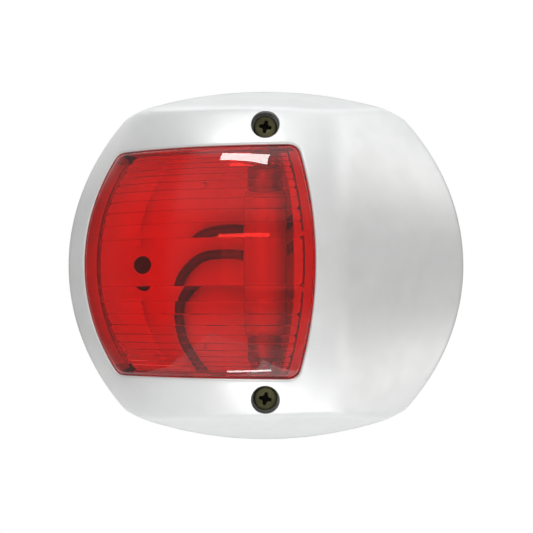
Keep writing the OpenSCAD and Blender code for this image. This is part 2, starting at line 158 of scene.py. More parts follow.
def outline_loop(inset=0.0):
    """The housing's outline: two pairs of arcs with lightly rounded corners."""
    side_r, end_r = SIDE_ARC_R - inset, END_ARC_R - inset
    corner_r = OUTLINE_CORNER_R - inset
    side_c, end_c = (-SIDE_ARC_X, 0), (0, -END_ARC_Z)
    corner = circle_meet(side_c, side_r - corner_r, end_c, end_r - corner_r)
    side_a = math.degrees(math.atan2(corner[1], corner[0] + SIDE_ARC_X))
    end_a = math.degrees(math.atan2(corner[1] + END_ARC_Z, corner[0]))
    quarter = np.concatenate([
        arc(side_c, side_r, 0, side_a, 36, False),
        arc(corner, corner_r, side_a, end_a, 4, False),
        arc(end_c, end_r, end_a, 90, 36),
    ])
    half = np.concatenate([quarter, quarter[-2::-1] * [-1, 1]])
    return np.concatenate([half, half[-2:0:-1] * [1, -1]])


def window_loop(ends=0.0, left=None, right=None):
    """The window's outline, grown by so much at its ends, left and right."""
    left = ends if left is None else left
    right = ends if right is None else right
    corner_r = max(0.5, WINDOW_CORNER_R + min(ends, left, right))
    z = WINDOW_HALF_H + ends - corner_r
    left_r, right_r = WINDOW_LEFT_R + left, WINDOW_RIGHT_R + right
    right_c = WINDOW_RIGHT_X - WINDOW_RIGHT_R
    right_x = right_c + math.sqrt((right_r - corner_r) ** 2 - z * z)
    left_c = SIDE_ARC_X
    left_x = left_c - math.sqrt((left_r - corner_r) ** 2 - z * z)
    right_a = math.degrees(math.atan2(z, right_x - right_c))
    left_a = math.degrees(math.atan2(z, left_c - left_x))
    half = np.concatenate([
        arc((right_c, 0), right_r, 0, right_a, 26, False),
        arc((right_x, z), corner_r, right_a, 90, 8, False),
        np.stack([np.linspace(right_x, left_x, 49)[:-1], np.full(48, z + corner_r)], 1),
        arc((left_x, z), corner_r, 90, 180 - left_a, 6, False),
        arc((left_c, 0), left_r, 180 - left_a, 180, 30),
    ])
    return np.concatenate([half, half[-2:0:-1] * [1, -1]])


def ring_loop(centre, r, count=64):
    return arc(centre, r, 0, 360, count, False)


def clear_of_tubes(loop, r):
    """Moves the points of a loop that fall inside a screw tube towards the window."""
    out = loop.copy()
    for i, (x, z) in enumerate(loop):
        if math.hypot(x, abs(z) - SCREW_Z) < r:
            out[i, 1] = math.copysign(SCREW_Z - math.sqrt(r * r - x * x), z)
    return out


def pushed_out(loop, hole):
    """Moves the points of a loop that fall inside a hole onto the hole's edge."""
    out = loop.copy()
    a, b = hole, np.roll(hole, -1, 0)
    ab = b - a
    for i in np.flatnonzero(inside_loop(loop, hole)):
        t = np.clip(((loop[i] - a) * ab).sum(1) / (ab * ab).sum(1), 0, 1)
        feet = a + t[:, None] * ab
        out[i] = feet[np.linalg.norm(feet - loop[i], axis=1).argmin()]
    return out


def inside_loop(points, loop):
    """Which points lie inside a loop."""
    a, b = loop, np.roll(loop, -1, 0)
    x, z = points[:, 0][:, None], points[:, 1][:, None]
    crosses = (a[:, 1] > z) != (b[:, 1] > z)
    with np.errstate(divide="ignore", invalid="ignore"):
        meet = a[:, 0] + (z - a[:, 1]) * (b[:, 0] - a[:, 0]) / (b[:, 1] - a[:, 1])
    return (crosses & (x < meet)).sum(1) % 2 == 1


def distance_to(points, loop):
    """How far each point is from the nearest point of a loop."""
    a, b = loop, np.roll(loop, -1, 0)
    ab = b - a
    ap = points[:, None, :] - a[None]
    t = np.clip((ap * ab).sum(2) / np.maximum((ab * ab).sum(1), 1e-12), 0, 1)
    return np.linalg.norm(ap - t[..., None] * ab, axis=2).min(1)


def rounding(dist, r):
    """How far a rounded edge of radius r drops at a distance in from the edge."""
    d = np.clip(dist, 0, r)
    return r - np.sqrt(np.maximum(r * r - (r - d) ** 2, 0))


# How far in from a rounded edge its rows of points lie, as shares of its radius
ROUND_STEPS = [1 - math.cos(math.radians(a)) for a in (18, 36, 54, 72, 90)]


# ---------------------------------------------------------------- mesh building

class Skin:
    """Collects points and faces in plan millimetres and turns them into an object."""

    def __init__(self):
        self.points, self.faces = [], []

    def loop(self, xz, d):
        """Adds a loop of points at the given heights."""
        start = len(self.points)
        d = np.broadcast_to(d, len(xz))
        self.points += [(x, z, h) for (x, z), h in zip(xz, d)]
        return list(range(start, len(self.points)))

    def wall(self, a, b):
        """Joins two loops of the same length with a band of faces."""
        n = len(a)
        self.faces += [(a[i], a[(i + 1) % n], b[(i + 1) % n], b[i]) for i in range(n)]

    def walls(self, *loops):
        for a, b in zip(loops, loops[1:]):
            self.wall(a, b)

    def cap(self, a):
        self.faces.append(tuple(a))

    def patch(self, outer, holes, extra, height, lines=()):
        """Fills the space between loops with triangles that pass through the extra points."""
        loops = [outer] + list(holes)
        flat = [np.array([self.points[i][:2] for i in l]) for l in loops]
        at = [i for l in loops for i in l]
        coords = [Vector(p) for f in flat for p in f]
        edges, start = [], 0
        for f in flat:
            n = len(f)
            edges += [(start + i, start + (i + 1) % n) for i in range(n)]
            start += n
        for line in lines:
            first = len(coords)
            coords += [Vector(p) for p in line]
            edges += [(first + i, first + i + 1) for i in range(len(line) - 1)]
        coords += [Vector(p) for p in extra]
        verts, _, tris, source, _, _ = delaunay_2d_cdt(coords, edges, [], 0, 1e-5)
        verts = np.array([tuple(v) for v in verts])
        heights = height(verts[:, 0], verts[:, 1])
        index = []
        for k, origin in enumerate(source):
            known = [o for o in origin if o < len(at)]
            if known:
                index.append(at[known[0]])
            else:
                index.append(len(self.points))
                self.points.append((verts[k, 0], verts[k, 1], heights[k]))
        tris = np.array([t for t in tris if len(t) == 3])
        middle = verts[tris].mean(1)
        keep = inside_loop(middle, flat[0])
        for f in flat[1:]:
            keep &= ~inside_loop(middle, f)
        self.faces += [tuple(index[i] for i in t) for t in tris[keep]]

    def build(self, name, smooth_angle=40.0):
        mesh = bpy.data.meshes.new(name)
        mesh.from_pydata([(x * MM, -d * MM, z * MM) for x, z, d in self.points], [], self.faces)
        return finish_mesh(mesh, name, smooth_angle)


def finish_mesh(mesh, name, smooth_angle=40.0, recalculate=True):
    """Turns a mesh's faces outwards, sets its sharp edges by angle and puts it in the scene."""
    bm = bmesh.new()
    bm.from_mesh(mesh)
    if recalculate:
        bmesh.ops.recalc_face_normals(bm, faces=bm.faces)
    if bm.calc_volume(signed=True) < 0:
        bmesh.ops.reverse_faces(bm, faces=bm.faces)
    bm.to_mesh(mesh)
    bm.free()
    mesh.polygons.foreach_set("use_smooth", [True] * len(mesh.polygons))
    mesh.set_sharp_from_angle(angle=math.radians(smooth_angle))
    obj = bpy.data.objects.new(name, mesh)
    bpy.context.scene.collection.objects.link(obj)
    return obj


def lattice(outer, holes, pitch, room=0.5):
    """A triangular lattice of points inside a loop and clear of it and of its holes."""
    low, high = outer.min(0), outer.max(0)
    columns = np.arange(low[0], high[0], pitch)
    rows = np.arange(low[1], high[1], pitch * math.sqrt(3) / 2)
    points = np.array([(x + (k % 2) * pitch / 2, z) for k, z in enumerate(rows) for x in columns])
    keep = inside_loop(points, outer) & (distance_to(points, outer) > room * pitch)
    for hole in holes:
        keep &= ~inside_loop(points, hole) & (distance_to(points, hole) > room * pitch)
    return points[keep]


def turned(name, profile, at, axis="d", count=64, smooth_angle=40.0):
    """A solid turned from a closed profile of (radius, height) about the depth axis or the upright."""
    mesh = bpy.data.meshes.new(name)
    verts, faces, n = [], [], len(profile)
    for k in range(count):
        a = 2 * math.pi * k / count
        for r, h in profile:
            c, s = r * math.cos(a), r * math.sin(a)
            x, z, d = (c, s, h) if axis == "d" else (c, h, s)
            verts.append(((at[0] + x) * MM, -(at[2] + d) * MM, (at[1] + z) * MM))
    on_axis = [r < 1e-9 for r, _ in profile]
    for k in range(count):
        m = (k + 1) % count
        for i in range(n):
            j = (i + 1) % n
            if not (on_axis[i] and on_axis[j]):
                faces.append((k * n + i, k * n + j, m * n + j, m * n + i))
    mesh.from_pydata(verts, [], faces)
    bm = bmesh.new()
    bm.from_mesh(mesh)
    bmesh.ops.remove_doubles(bm, verts=bm.verts, dist=1e-7)
    bmesh.ops.dissolve_degenerate(bm, edges=bm.edges, dist=1e-8)
    bm.to_mesh(mesh)
    bm.free()
    return finish_mesh(mesh, name, smooth_angle, recalculate=False)


BEVEL_FROM = math.radians(35)


def refined(node, bevel):
    """A copy of a frame node with its flat faces joined up and its edges lightly rounded."""
    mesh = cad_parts[node].data.copy()
    mesh.materials.clear()
    bm = bmesh.new()
    bm.from_mesh(mesh)
    bmesh.ops.remove_doubles(bm, verts=bm.verts, dist=2e-6)
    bmesh.ops.dissolve_limit(bm, angle_limit=math.radians(1.0), verts=bm.verts, edges=bm.edges)
    edges = [e for e in bm.edges if len(e.link_faces) == 2 and e.calc_face_angle(0) > BEVEL_FROM]
    bmesh.ops.bevel(bm, geom=edges, offset=bevel * MM, segments=2, profile=0.5, affect="EDGES",
                    clamp_overlap=True)
    bmesh.ops.triangulate(bm, faces=[f for f in bm.faces if len(f.verts) > 4])
    bm.to_mesh(mesh)
    bm.free()
    return finish_mesh(mesh, node + "_detail", math.degrees(BEVEL_FROM))


def ride(piece, body, slot, material, *replaced):
    """Gives a piece its material and sets it on a body in place of CAD nodes; the slot is not used."""
    piece.data.materials.clear()
    piece.data.materials.append(material)
    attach(piece, body)
    if replaced:
        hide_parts(*replaced)
    return piece


def recoloured(node, material):
    """Gives a CAD node that stays as it is a material."""
    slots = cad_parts[node].data.materials
    slots.clear()
    slots.append(material)


# ---------------------------------------------------------------- materials

def new_material(name, **inputs):
    """A material whose shader sockets are set by name, with _ for a space."""
    material = bpy.data.materials.new(name)
    material.use_nodes = True
    shader = material.node_tree.nodes["Principled BSDF"]
    for key, value in inputs.items():
        shader.inputs[key.replace("_", " ")].default_value = value
    return material, material.node_tree, shader


# Most of a noise lies between these values
NOISE_SPAN = (0.3, 0.7)


def noise(tree, scale, detail=3.0, rough=0.55):
    """A noise fixed to the object, with so many waves a metre."""
    where = tree.nodes.new("ShaderNodeTexCoord")
    node = tree.nodes.new("ShaderNodeTexNoise")
    node.inputs["Scale"].default_value = scale
    node.inputs["Detail"].default_value = detail
    node.inputs["Roughness"].default_value = rough
    tree.links.new(where.outputs["Object"], node.inputs["Vector"])
    return node


def spread(tree, source, low, high, socket):
    """Sends a noise to a shader socket, stretched between two values."""
    node = tree.nodes.new("ShaderNodeMapRange")
    node.inputs["From Min"].default_value, node.inputs["From Max"].default_value = NOISE_SPAN
    node.inputs["To Min"].default_value, node.inputs["To Max"].default_value = low, high
    tree.links.new(source.outputs["Fac"], node.inputs["Value"])
    tree.links.new(node.outputs["Result"], socket)


def tint(tree, source, dark, light, shader):
    """Colours a shader between two colours by a noise."""
    mix = tree.nodes.new("ShaderNodeValToRGB")
    for element, position, colour in zip(mix.color_ramp.elements, NOISE_SPAN, (dark, light)):
        element.position, element.color = position, (*colour, 1)
    tree.links.new(source.outputs["Fac"], mix.inputs["Fac"])
    tree.links.new(mix.outputs["Color"], shader.inputs["Base Color"])


def bump(tree, source, shader, strength, distance):
    """Roughens a shader's surface by a noise, its height in millimetres."""
    node = tree.nodes.new("ShaderNodeBump")
    node.inputs["Strength"].default_value = strength
    node.inputs["Distance"].default_value = distance * MM
    tree.links.new(source.outputs["Fac"], node.inputs["Height"])
    tree.links.new(node.outputs["Normal"], shader.inputs["Normal"])


def moulded(name, dark, light, roughness, grain, grain_depth, **inputs):
    """Moulded plastic or rubber: a fine grain, and colour and gloss that drift a little."""
    material, tree, shader = new_material(name, **inputs)
    tint(tree, noise(tree, 90.0, 4.0), dark, light, shader)
    spread(tree, noise(tree, 270.0), roughness - 0.04, roughness + 0.05, shader.inputs["Roughness"])
    bump(tree, noise(tree, grain, 2.0), shader, 0.5, grain_depth)
    return material


def metal(name, dark, light, low, high):
    """Bare or plated metal: stained a little, its roughness between low and high."""
    material, tree, shader = new_material(name, Metallic=1.0)
    tint(tree, noise(tree, 500.0, 5.0, 0.6), dark, light, shader)
    spread(tree, noise(tree, 1000.0, 4.0), low, high, shader.inputs["Roughness"])
    bump(tree, noise(tree, 2500.0, 3.0), shader, 0.4, 0.01)
    return material


# Painted shade for the screws' cross recesses
PAINTED_RECESS_SHADE = (0.012, 0.010, 0.009, 1)


def darkened_below(material, top, deep):
    """Paints shade into a material between two heights above the wall, darkening a recess where shade
    falls.
    """
    tree = material.node_tree
    shader = tree.nodes["Principled BSDF"]
    where, split = tree.nodes.new("ShaderNodeTexCoord"), tree.nodes.new("ShaderNodeSeparateXYZ")
    fade, mix = tree.nodes.new("ShaderNodeMapRange"), tree.nodes.new("ShaderNodeMix")
    mix.data_type, mix.blend_type = "RGBA", "MIX"
    colour = shader.inputs["Base Color"].links[0].from_socket
    fade.inputs["From Min"].default_value, fade.inputs["From Max"].default_value = -top * MM, -deep * MM
    tree.links.new(where.outputs["Object"], split.inputs["Vector"])
    tree.links.new(split.outputs["Y"], fade.inputs["Value"])
    tree.links.new(fade.outputs["Result"], mix.inputs["Factor"])
    tree.links.new(colour, mix.inputs["A"])
    mix.inputs["B"].default_value = PAINTED_RECESS_SHADE
    tree.links.new(mix.outputs["Result"], shader.inputs["Base Color"])


def clear(name, colour, ior, roughness, ripple, ripple_depth, **inputs):
    """A clear material whose surface has a very slight moulding ripple."""
    material, tree, shader = new_material(
        name, Base_Color=(*colour, 1), IOR=ior, Roughness=roughness, **inputs)
    bump(tree, noise(tree, ripple, 1.0), shader, 0.3, ripple_depth)
    return material


# The cover has a pearly sheen; its inside and the screen get a much lighter copy of the same moulding's
# white, painted light that brightens the inside of the light
COVER_WHITE = moulded(
    "cover_white", (0.54, 0.54, 0.535), (0.58, 0.58, 0.575), 0.34, 3200.0, 0.018, Metallic=0.35)
INSIDE_PAINTED_BRIGHT = moulded("cover_inside_painted_bright", (0.93, 0.93, 0.93), (0.96, 0.96, 0.96), 0.5, 2600.0, 0.02)
BASE_WHITE = moulded("base_white", (0.93, 0.93, 0.93), (0.96, 0.96, 0.96), 0.5, 2600.0, 0.02)
LENS_RED = clear(
    "lens_red", (0.98, 0.03, 0.02), 1.49, 0.01, 260.0, 0.004, Transmission_Weight=0.985)
SEAL = moulded("lens_seal", (0.62, 0.62, 0.60), (0.70, 0.70, 0.68), 0.45, 2000.0, 0.01)
FOAM = moulded("gasket_foam", (0.02, 0.02, 0.022), (0.05, 0.05, 0.055), 0.85, 2200.0, 0.12)
RUBBER = moulded("grommet_rubber", (0.78, 0.78, 0.76), (0.85, 0.85, 0.83), 0.6, 2500.0, 0.02)
WASHER = moulded("washer_rubber", (0.02, 0.02, 0.02), (0.045, 0.045, 0.045), 0.6, 2500.0, 0.02)
LEAD = moulded("lead_black", (0.010, 0.010, 0.011), (0.022, 0.022, 0.024), 0.38, 1800.0, 0.01)
BRASS = metal("insert_brass", (0.62, 0.44, 0.18), (0.74, 0.56, 0.26), 0.22, 0.38)
RIVET = metal("rivet_brass", (0.60, 0.45, 0.22), (0.72, 0.58, 0.32), 0.25, 0.42)
NICKEL = metal("contact_nickel", (0.52, 0.50, 0.46), (0.66, 0.64, 0.60), 0.18, 0.34)
# The bulb caps' metal is painted dark, painted shade standing in for the dark reflections the caps show
CAP_METAL_PAINTED_DARK = metal("bulb_cap", (0.20, 0.19, 0.17), (0.34, 0.33, 0.30), 0.3, 0.45)
TIN = metal("terminal_tin", (0.58, 0.57, 0.54), (0.72, 0.71, 0.68), 0.25, 0.42)
TUNGSTEN = metal("filament", (0.16, 0.155, 0.15), (0.26, 0.25, 0.24), 0.35, 0.5)
BRONZE = metal("screw_bronze", (0.11, 0.10, 0.05), (0.20, 0.185, 0.10), 0.38, 0.58)
# Frosted inside and shiny outside
GLASS = clear(
    "bulb_glass", (0.96, 0.96, 0.95), 1.5, 0.4, 180.0, 0.002, Transmission_Weight=0.4, Coat_Weight=1.0)

# The screws' cross recesses are darkened with painted shade
darkened_below(BRONZE, HEAD_TOP - 0.15, HEAD_TOP - 0.9)


# ---------------------------------------------------------------- cover

COVER_PITCH, INSIDE_PITCH = 1.3, 1.8
KINK_PITCH, KINK_END, KINK_SEARCH = 1.1, 40.0, (20.0, 43.0)
KINK_ROWS = (-0.9, -0.6, -0.35, -0.12, 0.12, 0.35, 0.6, 0.9)
KINK_ROOM = 0.35


def kink_at(x):
    """How far from the middle the crown meets a flank at x, found by halving."""
    low, high = KINK_SEARCH
    for _ in range(40):
        mid = (low + high) / 2
        low, high = (mid, high) if crown(x, mid) < flank(x, mid) else (low, mid)
    return low


def kink_points():
    """Points along the soft line where the crown meets each flank, close together across it."""
    points = []
    for side in SIDES.values():
        for x in np.arange(-KINK_END, KINK_END + 0.1, KINK_PITCH):
            z = kink_at(x)
            points += [(x, side * (z + off)) for off in KINK_ROWS]
    return np.array(points)


def on(loop, height):
    """The heights of a surface at a loop's points."""
    return height(loop[:, 0], loop[:, 1])


def cover_outside(x, z):
    """The cover's outer face with its edges rounded at the rim, the window and the wells."""
    points = np.stack([x, z], 1)
    drop = rounding(distance_to(points, outline_loop()), RIM_EDGE_R)
    drop += rounding(distance_to(points, window_loop()), WINDOW_EDGE_R)
    for centre in SCREW_CENTRES:
        from_edge = np.hypot(x - centre[0], z - centre[1]) - WELL_R
        drop += rounding(np.maximum(from_edge, 0), WELL_EDGE_R)
    return cover_height(x, z) - drop


def cover_points():
    """Points for the outer face: rows round each rounded edge, along the kinks, and a field between."""
    rows = [outline_loop(RIM_EDGE_R * s) for s in ROUND_STEPS]
    rows += [window_loop(WINDOW_EDGE_R * s) for s in ROUND_STEPS]
    rows += [ring_loop(c, WELL_R + WELL_EDGE_R * s) for c in SCREW_CENTRES for s in ROUND_STEPS]
    holes = [window_loop(WINDOW_EDGE_R + 0.45)] + [ring_loop(c, WELL_R + 0.9) for c in SCREW_CENTRES]
    field = lattice(outline_loop(RIM_EDGE_R + 0.5), holes, COVER_PITCH)
    kink = kink_points()
    clear_of_edges = inside_loop(kink, outline_loop(RIM_EDGE_R + 0.4))
    for c in SCREW_CENTRES:
        clear_of_edges &= np.hypot(kink[:, 0] - c[0], kink[:, 1] - c[1]) > WELL_R + 0.7
    kink = kink[clear_of_edges]
    away = np.array([np.abs(kink - p).max(1).min() > KINK_ROOM for p in field])
    return np.concatenate(rows + [kink, field[away]])


def build_cover():
    """The moulding, its outer skin first and then what only shows from inside."""
    skin = Skin()
    rim, window = outline_loop(), window_loop()
    wells = [ring_loop(c, WELL_R) for c in SCREW_CENTRES]
    tubes = [ring_loop(c, TUBE_R) for c in SCREW_CENTRES]
    rim_top = skin.loop(rim, on(rim, cover_outside))
    window_top = skin.loop(window, on(window, cover_outside))
    well_tops = [skin.loop(w, on(w, cover_outside)) for w in wells]
    skin.patch(rim_top, [window_top] + well_tops, cover_points(), cover_outside)

    rim_in = pushed_out(outline_loop(COVER_WALL), window_loop(0.05))
    foot_out = skin.loop(rim, GASKET_T + FOOT_BEVEL)
    foot_bevel = skin.loop(outline_loop(FOOT_BEVEL), GASKET_T)
    foot_in = skin.loop(rim_in, GASKET_T)
    inner_rim = skin.loop(rim_in, on(rim_in, cover_inside))
    window_in = skin.loop(window, on(window, cover_inside))
    tube_ends = [skin.loop(t, on(t, cover_inside)) for t in tubes]
    skin.walls(rim_top, foot_out, foot_bevel, foot_in)
    skin.wall(window_top, window_in)
    outer_faces = len(skin.faces)
    skin.wall(foot_in, inner_rim)
    tube_room = [ring_loop(c, TUBE_R + 0.8) for c in SCREW_CENTRES]
    inner_field = lattice(outline_loop(COVER_WALL + 0.8), [window_loop(0.8)] + tube_room, INSIDE_PITCH)
    skin.patch(inner_rim, [window_in] + tube_ends, inner_field, cover_inside)
    inside_faces = range(outer_faces, len(skin.faces))
    for centre, top, end in zip(SCREW_CENTRES, well_tops, tube_ends):
        seat = skin.loop(ring_loop(centre, WELL_R), WEB_TOP)
        hole_top = skin.loop(ring_loop(centre, SCREW_HOLE_R), WEB_TOP)
        hole_low = skin.loop(ring_loop(centre, SCREW_HOLE_R), WEB_BOTTOM)
        tube_low = skin.loop(ring_loop(centre, TUBE_R), WEB_BOTTOM)
        skin.walls(top, seat, hole_top, hole_low, tube_low, end)
    cover = skin.build("cover_moulding", 50)
    ride(cover, "cover_assembly", "cover_white", COVER_WHITE, "cover")
    # The cover's inner faces take the lighter copy of its white, painted light
    cover.data.materials.append(INSIDE_PAINTED_BRIGHT)
    for face in inside_faces:
        cover.data.polygons[face].material_index = 1


SCREEN_LOW, SCREEN_TOP, SCREEN_T, SCREEN_HALF_H = 20.0, 35.0, 1.4, 25.5
SCREEN_LOW_X, SCREEN_LEAN = 6.9, 0.4625
SCREEN_ROOT = 0.4


def screen_face(out):
    """Rows of points up one face of the screen, on its near face or so far out from it."""
    centre = WINDOW_RIGHT_X - WINDOW_RIGHT_R
    zs = np.linspace(-SCREEN_HALF_H, SCREEN_HALF_H, 41)
    rows = []
    for d in np.linspace(SCREEN_LOW, SCREEN_TOP, 9):
        r = SCREEN_LOW_X - centre + (d - SCREEN_LOW) * SCREEN_LEAN + out
        x = centre + np.sqrt(r * r - zs ** 2)
        height = np.minimum(d, cover_inside(x, zs) + SCREEN_ROOT)
        under_lens = inside_loop(np.stack([x, zs], 1), window_loop(FLANGE_REACH + LENS_GAP))
        lens_low = crown(x, zs, LENS_DEPTH + LENS_GAP)
        rows.append((np.stack([x, zs], 1), np.where(under_lens, np.minimum(height, lens_low), height)))
    return rows


def build_screen():
    """The upright screen inside the cover that cuts the beam off, a slanted curved wall."""
    skin = Skin()
    near, far = ([skin.loop(*row) for row in screen_face(out)] for out in (0.0, SCREEN_T))

    def band(a, b):
        skin.faces += [(a[i], a[i + 1], b[i + 1], b[i]) for i in range(len(a) - 1)]

    for side in (near, far):
        for below, above in zip(side, side[1:]):
            band(below, above)
    for end in (0, -1):
        band(near[end], far[end])
        band([row[end] for row in near], [row[end] for row in far])
    # The screen takes the cover's lighter inside copy of its white, painted light
    ride(skin.build("cover_screen", 50), "cover_assembly", "cover_white", INSIDE_PAINTED_BRIGHT)


# ---------------------------------------------------------------- lens

# The first prism's place, and how high it is, how much each next one shrinks, and how many there are
PRISM_FIRST, PRISM_PITCH, PRISM_SHRINK, PRISM_COUNT = 5.4, 3.5, 0.86, 12
PRISM_TILT = math.radians(23.5)
RISER_W = 0.12

# The pocket's rim, and at the left the slanted wall from the rim to the pocket's floor; at the right the
# rim is wider
RIM_W, RIM_RIGHT_EXTRA, POCKET_DRAFT = 1.4, 1.0, 0.45
POCKET_LEFT, POCKET_SLANT = 4.5, 0.75

LENS_PITCH = 1.2


def pocket_loop(inset):
    """The edge of the pocket's floor, or a line so far inside it."""
    ends = RIM_W + POCKET_DRAFT + inset
    return window_loop(-ends, left=-POCKET_LEFT - POCKET_SLANT - inset, right=-ends - RIM_RIGHT_EXTRA)


def prism_edges():
    """Where each prism starts, measured up from the middle, and where the last one ends."""
    edges, z, pitch = [], PRISM_FIRST, PRISM_PITCH
    for _ in range(PRISM_COUNT):
        edges.append(z)
        z += pitch
        pitch *= PRISM_SHRINK
    return edges


PRISM_EDGES = prism_edges()


def prism_depth(z):
    """How far the horizontal prisms stand in from the lens's inner face, each thickest near the middle."""
    z = np.abs(z)
    depth = np.zeros_like(z)
    for low, high in zip(PRISM_EDGES, PRISM_EDGES[1:]):
        rise = np.clip((z - low) / RISER_W, 0, 1) * (high - low) * math.tan(PRISM_TILT)
        fall = np.clip((high - z) / (high - low - RISER_W), 0, 1)
        depth = np.where((z >= low) & (z < high), rise * fall, depth)
    return depth


def prism_lines():
    """The z of each prism's two edges, and the lines along them inside the pocket."""
    rows = sorted({s * (e + off) for e in PRISM_EDGES for s in (-1, 1) for off in (0.0, RISER_W)})
    rows = [z for z in rows if abs(z) < WINDOW_HALF_H - RIM_W - 0.2]
    span = np.arange(-45, 12, LENS_PITCH / 2)
    lines = [np.stack([span, np.full(len(span), z)], 1) for z in rows]
    return rows, [line[inside_loop(line, pocket_loop(0.1))] for line in lines]


def build_lens():
    """The red lens: its outer face, the flange behind the window's edge, the rim and the pocket."""
    skin = Skin()
    edge = window_loop(-LENS_GAP)

    def outside(x, z):
        return crown(x, z) - rounding(distance_to(np.stack([x, z], 1), edge), LENS_EDGE_R)

    def pocket(x, z):
        return crown(x, z, LENS_WALL) - prism_depth(z)

    def at(loop, inset):
        return np.maximum(crown(loop[:, 0], loop[:, 1], inset), LENS_FOOT)

    top = skin.loop(edge, on(edge, outside))
    rounded = [window_loop(-LENS_GAP - LENS_EDGE_R * s) for s in ROUND_STEPS]
    field = lattice(window_loop(-LENS_GAP - LENS_PITCH), [], LENS_PITCH)
    skin.patch(top, [], np.concatenate(rounded + [field]), outside)

    flange = clear_of_tubes(window_loop(FLANGE_REACH), TUBE_R + 0.15)
    above_foot = crown(flange[:, 0], flange[:, 1], LENS_FLANGE_TOP) - LENS_FOOT
    flange = edge + (flange - edge) * np.clip(above_foot / 0.8, 0.02, 1)[:, None]
    inner = window_loop(-RIM_W, left=-POCKET_LEFT, right=-RIM_W - RIM_RIGHT_EXTRA)
    floor_edge = pocket_loop(0.0)
    neck = skin.loop(edge, at(edge, LENS_FLANGE_TOP))
    flange_top = skin.loop(flange, at(flange, LENS_FLANGE_TOP))
    flange_low = skin.loop(flange, at(flange, LENS_DEPTH))
    rim_low = skin.loop(inner, at(inner, LENS_DEPTH))
    pocket_edge = skin.loop(floor_edge, on(floor_edge, pocket))
    skin.walls(top, neck, flange_top, flange_low, rim_low, pocket_edge)

    rows, lines = prism_lines()
    field = lattice(pocket_loop(0.2), [], LENS_PITCH)
    near_row = np.abs(field[:, 1][:, None] - np.array(rows)).min(1) < 0.35
    skin.patch(pocket_edge, [], field[~near_row], pocket, lines)
    ride(skin.build("lens_prismatic", 22), "cover_assembly", "lens_red", LENS_RED, "lens")


# ---------------------------------------------------------------- leads

def curve_through(points, parts=8):
    """A smooth curve through points, several steps to each stretch."""
    p = np.array(points, float)
    out = []
    for i in range(len(p) - 1):
        a, b, c, d = p[max(i - 1, 0)], p[i], p[i + 1], p[min(i + 2, len(p) - 1)]
        for k in range(parts):
            t = k / parts
            out.append(0.5 * (2 * b + (c - a) * t + (2 * a - 5 * b + 4 * c - d) * t ** 2
                              + (3 * b - a - 3 * c + d) * t ** 3))
    return np.array(out + [p[-1]])


def tube(name, route, r, sides=16):
    """A round tube along a route of (x, z, d) points, closed at both ends."""
    route = np.array(route, float)
    t = np.gradient(route, axis=0)
    t /= np.linalg.norm(t, axis=1)[:, None]
    skin, u = Skin(), np.array([0.0, 1.0, 0.1])
    loops = []
    for c, tangent in zip(route, t):
        u = u - (u @ tangent) * tangent
        u /= np.linalg.norm(u)
        v = np.cross(tangent, u)
        ring = [tuple(c + r * (math.cos(a) * u + math.sin(a) * v))
                for a in np.linspace(0, 2 * math.pi, sides, endpoint=False)]
        loops.append(list(range(len(skin.points), len(skin.points) + sides)))
        skin.points += ring
    skin.walls(*loops)
    skin.cap(loops[0])
    skin.cap(loops[-1])
    return skin.build(name, 60)


# Routes of the internal leads, as (x, z, d) points
LEAD_LOWER = [
    (-1.7, 1, 0.8), (-1.7, 1, 3.6), (-2.6, 1.4, 5.4), (-5.2, 2.2, 6.1), (-9.4, 2.6, 6.1), (-15.2, 1.9, 5.9),
    (-19.3, -1.3, 5.6), (-21.2, -4.9, 5.3), (-21.3, -9.0, 5.2), (-20.4, -13.4, 5.2), (-18.2, -17.3, 5.4),
    (-15.4, -20.8, 6.0), (-12.2, -23.4, 6.5), (-9.4, -24, 6.6), (-5.6, -24, 6.6),
]
LEAD_UPPER = [
    (1.7, 1, 0.8), (1.7, 1, 3.6), (2.5, 1.5, 5.4), (4.8, 3.0, 6.0), (8.2, 5.8, 5.9), (11.4, 9.8, 5.6),
    (13.9, 14.6, 5.6), (14.8, 18.8, 5.9), (13.4, 22.6, 6.4), (9.8, 24, 6.6), (5.6, 24, 6.6),
]


LEAD_R = 1.2


def build_leads():
    """The two internal leads, in their insulation."""
    for name, route in (("lead_lower", LEAD_LOWER), ("lead_upper", LEAD_UPPER)):
        piece = tube(name + "_insulation", curve_through(route), LEAD_R)
        ride(piece, "base_assembly", "lead_black", LEAD, name)


# ---------------------------------------------------------------- bulb

bulb_low, bulb_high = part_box("bulb_glass")
cap_low, cap_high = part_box("bulb_cap_upper")
BULB_D = -(bulb_low.y + bulb_high.y) / 2 / MM
GLASS_R = (bulb_high.x - bulb_low.x) / 2 / MM
GLASS_HALF = (bulb_high.z - bulb_low.z) / 2 / MM
CAP_R = (cap_high.x - cap_low.x) / 2 / MM
GLASS_WALL, NECK_STEP, SHOULDER_H = 0.6, 0.35, 3.5
COIL_TURNS, COIL_HALF, COIL_R, COIL_WIRE_R = 46, 8.5, 0.24, 0.055


def glass_side(inset):
    """One face of the bulb's glass from top to bottom: rounded shoulders and a straight side."""
    neck, straight = CAP_R - NECK_STEP, GLASS_HALF - SHOULDER_H
    drop = GLASS_HALF - inset - straight
    upper = [(neck - inset + (GLASS_R - neck) * math.sin(a), straight + drop * math.cos(a))
             for a in np.radians(np.arange(0, 91, 9))]
    return upper + [(r, -h) for r, h in reversed(upper)]


def build_glass():
    inner_half = GLASS_HALF - GLASS_WALL
    profile = [(0.0, GLASS_HALF)] + glass_side(0.0) + [(0.0, -GLASS_HALF), (0.0, -inner_half)]
    profile += list(reversed(glass_side(GLASS_WALL))) + [(0.0, inner_half)]
    glass = turned("bulb_envelope", profile, (0.0, 0.0, BULB_D), "z", 72, 50)
    ride(glass, "bulb", "bulb_glass", GLASS, "bulb_glass")


